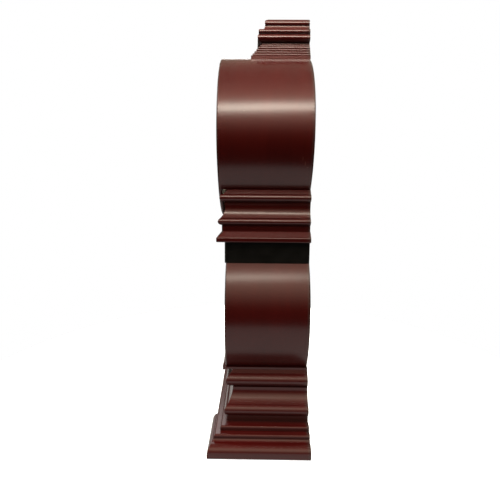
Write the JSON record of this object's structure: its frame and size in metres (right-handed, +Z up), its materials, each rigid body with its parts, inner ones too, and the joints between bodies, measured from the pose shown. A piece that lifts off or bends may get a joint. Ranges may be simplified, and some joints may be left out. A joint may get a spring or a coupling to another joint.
{
  "type": "mantel clock",
  "caption": "Tall mantel clock: a round dial drum above a round pendulum drum, joined by a moulded waist, on a stepped plinth with foot blocks, with a reeded crown.",
  "frame": {"origin": "middle of the footprint, on the surface the clock stands on", "axes": "+Z up; the dial faces -Y; +X is to the right when looking at the dial"},
  "size_m": [0.2386, 0.097, 0.4211],
  "materials": {
    "mahogany": "deep red-brown mahogany, high gloss lacquer",
    "ebonised": "black ebonised, gloss lacquer",
    "birch_ply": "plain plywood",
    "felt": "felt",
    "screw_brass": "plain",
    "screw_steel": "zinc plated",
    "brass": "polished and lacquered",
    "steel": "satin",
    "glass": "clear",
    "retainer": "satin",
    "hand_black": "satin black",
    "dial_enamel": "ivory enamel",
    "movement_plastic": "moulded",
    "wheel_plastic": "moulded",
    "battery_sleeve": "printed sleeve",
    "plated_steel": "nickel plated",
    "board_green": "solder mask",
    "coil_wire": "enamelled copper wire",
    "magnet": "plain"
  },
  "bodies": {
    "case": {"base_moulding": "mahogany", "base_plate": "mahogany", "base_step": "mahogany", "battery": "battery_sleeve", "battery_contacts": "plated_steel", "chapter_ring": "brass", "circuit_board": "board_green", "crown_base": "mahogany", "crown_cap": "mahogany", "crown_screws": "screw_steel", "dial_panel": "birch_ply", "dial_plate": "dial_enamel", "door_catches": "magnet", "door_hinges": "brass", "drum_seat": "mahogany", "felt_pads": "felt", "foot_left": "mahogany", "foot_right": "mahogany", "foot_screws": "screw_steel", "lower_back_board": "mahogany", "lower_front_board": "mahogany", "lower_side_left": "mahogany", "lower_side_right": "mahogany", "motor_coil": "coil_wire", "motor_stator": "plated_steel", "mounting_nut": "brass", "mounting_washer": "brass", "movement_front_shell": "movement_plastic", "movement_rear_shell": "movement_plastic", "neck_block": "ebonised", "panel_hoop": "birch_ply", "panel_screws": "screw_brass", "pendulum_bracket": "movement_plastic", "service_catch": "magnet", "service_hinge": "brass", "upper_back_board": "mahogany", "upper_band": "mahogany", "upper_front_board": "mahogany", "waist_moulding": "mahogany", "waist_plate": "mahogany", "waist_screws": "screw_steel"},
    "minute": {"minute_arbor": "steel", "minute_hand": "hand_black", "hand_nut": "brass"},
    "hour": {"hour_wheel": "wheel_plastic", "hour_hand": "hand_black"},
    "motion_work": {"motion_wheel": "wheel_plastic"},
    "setting": {"setting_arbor": "wheel_plastic", "setting_knob": "movement_plastic"},
    "pendulum": {"pendulum_rod": "steel", "pendulum_bob": "brass", "rating_nut": "brass"},
    "dial_door": {"dial_bezel": "brass", "dial_glass": "glass", "dial_glass_ring": "retainer"},
    "window_door": {"window_bezel": "brass", "window_glass": "glass", "window_glass_ring": "retainer"},
    "hatch": {"service_door": "mahogany"}
  },
  "joints": [
    {"name": "minute_turn", "type": "hinge", "parent": "case", "child": "minute", "pos_m": [0, -0.03, 0.302], "axis": [0, 1, 0], "continuous": true},
    {"name": "hour_turn", "type": "hinge", "parent": "case", "child": "hour", "pos_m": [0, -0.03, 0.302], "axis": [0, 1, 0], "continuous": true},
    {"name": "motion_turn", "type": "hinge", "parent": "case", "child": "motion_work", "pos_m": [0.012, -0.025, 0.302], "axis": [0, 1, 0], "continuous": true},
    {"name": "setting_turn", "type": "hinge", "parent": "case", "child": "setting", "pos_m": [0.012, -0.015, 0.29], "axis": [0, 1, 0], "continuous": true},
    {"name": "pendulum_swing", "type": "hinge", "parent": "case", "child": "pendulum", "pos_m": [0, -0.022, 0.252], "axis": [0, 1, 0], "range_deg": [-6, 6]},
    {"name": "dial_door_hinge", "type": "hinge", "parent": "case", "child": "dial_door", "pos_m": [-0.0695, -0.0434, 0.302], "axis": [0, 0, -1], "range_deg": [0, 110]},
    {"name": "window_door_hinge", "type": "hinge", "parent": "case", "child": "window_door", "pos_m": [-0.049, -0.0359, 0.1208], "axis": [0, 0, -1], "range_deg": [0, 110]},
    {"name": "service_door_hinge", "type": "hinge", "parent": "case", "child": "hatch", "pos_m": [-0.0404, 0.047, 0.306], "axis": [0, 0, 1], "range_deg": [0, 95]}
  ],
  "couplings": [
    {"joint": "hour_turn", "follows": "minute_turn", "ratio": 0.083333},
    {"joint": "motion_turn", "follows": "minute_turn", "ratio": -0.33333},
    {"joint": "setting_turn", "follows": "minute_turn", "ratio": 1}
  ]
}
